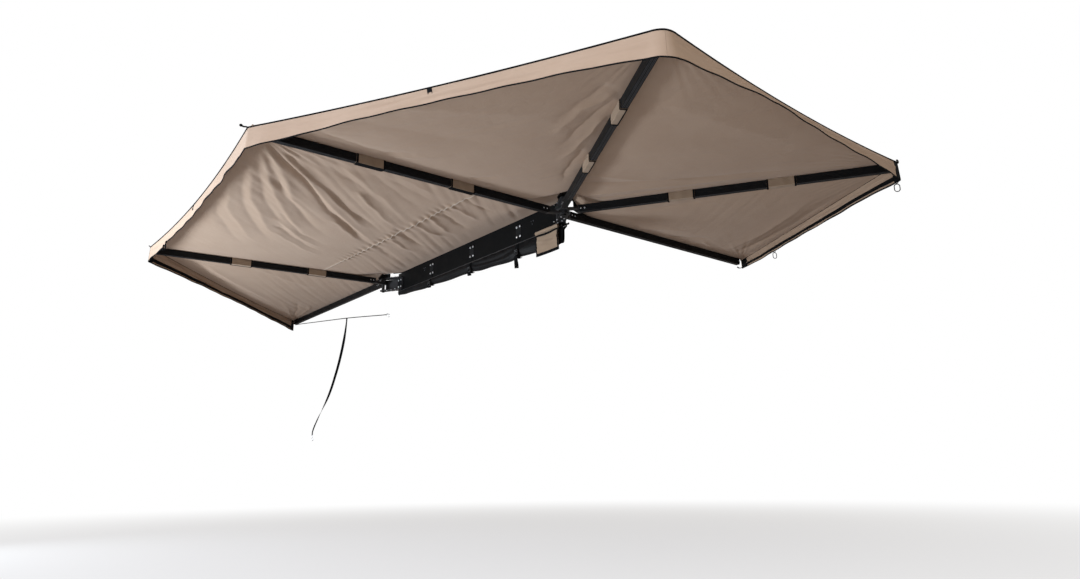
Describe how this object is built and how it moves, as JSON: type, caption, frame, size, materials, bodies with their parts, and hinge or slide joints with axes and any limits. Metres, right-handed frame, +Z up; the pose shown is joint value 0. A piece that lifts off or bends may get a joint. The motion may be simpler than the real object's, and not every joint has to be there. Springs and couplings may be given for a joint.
{
  "type": "vehicle side awning",
  "caption": "Freestanding wing awning for a vehicle's side: fabric panels on hinged arms swing round two hubs on a backing rail with mounting brackets, travel cover and guy line",
  "frame": {"origin": "Middle of the mounting face, on the back of the middle mounting bracket, at half the rail's height", "axes": "+X is the vehicle's front, along the rail; +Y is outboard, away from the vehicle; +Z is up"},
  "size_m": [6.7032, 4.1121, 1.4569],
  "materials": {
    "anodised": "black anodised extrusion",
    "coated_steel": "black powder coat on bent steel plate",
    "zinc": "zinc-plated steel",
    "canopy": "taupe ripstop canvas, matt",
    "wrap": "taupe ripstop canvas, bound in black",
    "cover": "black PVC-coated cloth",
    "webbing": "black woven webbing",
    "plastic": "black moulded nylon"
  },
  "bodies": {
    "frame": {"backing_rail": "anodised", "mount_bracket_1": "coated_steel", "mount_bracket_2": "coated_steel", "mount_bracket_3": "coated_steel", "mount_bolts_1": "zinc", "mount_bolts_2": "zinc", "mount_bolts_3": "zinc", "rear_hub_bracket": "coated_steel", "rear_hub_bolts": "zinc", "rear_hub_pin": "zinc", "rear_hub_nut": "zinc", "rear_hub_spacer": "anodised", "front_hub_bracket": "coated_steel", "front_hub_bolts": "zinc", "front_hub_pin": "zinc", "front_hub_nut": "zinc", "front_hub_spacer": "anodised", "travel_cover": "cover", "cover_strap_1": "webbing", "cover_strap_2": "webbing", "cover_strap_3": "webbing", "cover_end_pouch": "wrap", "canopy_panel_ea": "canopy"},
    "arm_a": {"arm_a_tube": "anodised", "arm_a_knuckle": "coated_steel", "arm_a_end_cap": "plastic", "arm_a_wrap_1": "wrap", "arm_a_wrap_2": "wrap"},
    "arm_b": {"arm_b_tube": "anodised", "arm_b_knuckle": "coated_steel", "arm_b_end_cap": "plastic", "arm_b_wrap_1": "wrap", "arm_b_wrap_2": "wrap", "canopy_panel_ab": "canopy"},
    "arm_c": {"arm_c_tube": "anodised", "arm_c_knuckle": "coated_steel", "arm_c_end_cap": "plastic", "arm_c_wrap_1": "wrap", "arm_c_wrap_2": "wrap", "canopy_panel_bc": "canopy", "snap_hook_c": "zinc"},
    "arm_d": {"arm_d_tube": "anodised", "arm_d_knuckle": "coated_steel", "arm_d_end_cap": "plastic", "canopy_panel_cd": "canopy", "snap_hook_d": "zinc"},
    "arm_e": {"arm_e_tube": "anodised", "arm_e_knuckle": "coated_steel", "arm_e_end_cap": "plastic", "arm_e_wrap_1": "wrap", "arm_e_wrap_2": "wrap"},
    "arm_f": {"arm_f_tube": "anodised", "arm_f_knuckle": "coated_steel", "arm_f_end_cap": "plastic", "canopy_panel_fe": "canopy", "guy_line": "webbing", "guy_strap": "webbing", "guy_rack_hook": "zinc", "guy_lower_hook": "zinc"}
  },
  "joints": [
    {"name": "fold_arm_a", "type": "hinge", "parent": "frame", "child": "arm_a", "pos_m": [-1.3, 0.138, 0], "axis": [0, 0, -1], "range_deg": [0, 90], "deforming": ["canopy_panel_ea"]},
    {"name": "fold_arm_b", "type": "hinge", "parent": "frame", "child": "arm_b", "pos_m": [-1.3, 0.138, 0], "axis": [0, 0, -1], "range_deg": [0, 151.5], "deforming": ["canopy_panel_ab"]},
    {"name": "fold_arm_c", "type": "hinge", "parent": "frame", "child": "arm_c", "pos_m": [-1.3, 0.138, 0], "axis": [0, 0, -1], "range_deg": [0, 212.5], "deforming": ["canopy_panel_bc"]},
    {"name": "fold_arm_d", "type": "hinge", "parent": "frame", "child": "arm_d", "pos_m": [-1.3, 0.138, 0], "axis": [0, 0, -1], "range_deg": [0, 271], "deforming": ["canopy_panel_cd", "snap_hook_d"]},
    {"name": "fold_arm_e", "type": "hinge", "parent": "frame", "child": "arm_e", "pos_m": [1.3, 0.138, 0], "axis": [0, 0, 1], "range_deg": [0, 95]},
    {"name": "fold_arm_f", "type": "hinge", "parent": "frame", "child": "arm_f", "pos_m": [1.3, 0.138, 0], "axis": [0, 0, 1], "range_deg": [0, 180], "deforming": ["canopy_panel_fe", "guy_line", "guy_strap"]}
  ],
  "couplings": [
    {"joint": "fold_arm_a", "follows": "fold_arm_d", "ratio": 0.3321},
    {"joint": "fold_arm_b", "follows": "fold_arm_d", "ratio": 0.559},
    {"joint": "fold_arm_c", "follows": "fold_arm_d", "ratio": 0.7841},
    {"joint": "fold_arm_e", "follows": "fold_arm_d", "ratio": 0.3505},
    {"joint": "fold_arm_f", "follows": "fold_arm_d", "ratio": 0.6642}
  ]
}
